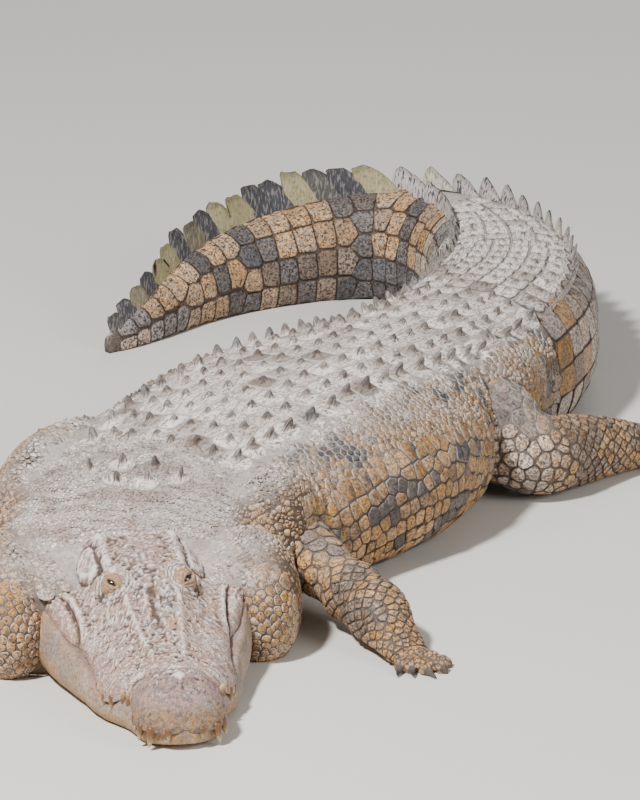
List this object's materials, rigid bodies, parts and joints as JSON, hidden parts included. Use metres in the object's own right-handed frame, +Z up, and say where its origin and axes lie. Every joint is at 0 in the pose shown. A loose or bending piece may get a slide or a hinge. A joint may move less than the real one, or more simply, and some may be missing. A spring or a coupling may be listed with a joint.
{
  "type": "saltwater crocodile",
  "caption": "Life-size saltwater crocodile lying on its belly with a turned neck, spread legs and a tail that curls round behind it.",
  "frame": {"origin": "on the floor under the middle of the whole animal's box", "axes": "+Z up; the snout is towards -Y and the curled tail towards +Y; the animal's left side is towards +X"},
  "size_m": [1.8634, 3.1862, 0.374],
  "materials": {
    "back_skin": "dry pale grey-beige hide with a dusting of dried mud",
    "flank_skin": "tan to orange-brown hide with slate-grey blotches",
    "claw_horn": "dark grey horn",
    "eye": "wet yellow-brown eye with a slit pupil"
  },
  "bodies": {
    "root": {"head": "back_skin", "lower_jaw": "back_skin", "eye_left": "eye", "eye_right": "eye", "neck": "back_skin", "trunk": "back_skin", "tail_1": "flank_skin", "tail_2": "flank_skin", "tail_3": "flank_skin", "tail_4": "flank_skin", "front_left_upper": "flank_skin", "front_left_lower": "flank_skin", "front_left_foot": "flank_skin", "front_left_claw_1": "claw_horn", "front_left_claw_2": "claw_horn", "front_left_claw_3": "claw_horn", "front_right_upper": "flank_skin", "front_right_lower": "flank_skin", "front_right_foot": "flank_skin", "front_right_claw_1": "claw_horn", "front_right_claw_2": "claw_horn", "front_right_claw_3": "claw_horn", "hind_left_upper": "flank_skin", "hind_left_lower": "flank_skin", "hind_left_foot": "flank_skin", "hind_left_claw_1": "claw_horn", "hind_left_claw_2": "claw_horn", "hind_left_claw_3": "claw_horn", "hind_right_upper": "flank_skin", "hind_right_lower": "flank_skin", "hind_right_foot": "flank_skin", "hind_right_claw_1": "claw_horn", "hind_right_claw_2": "claw_horn", "hind_right_claw_3": "claw_horn"}
  },
  "joints": []
}
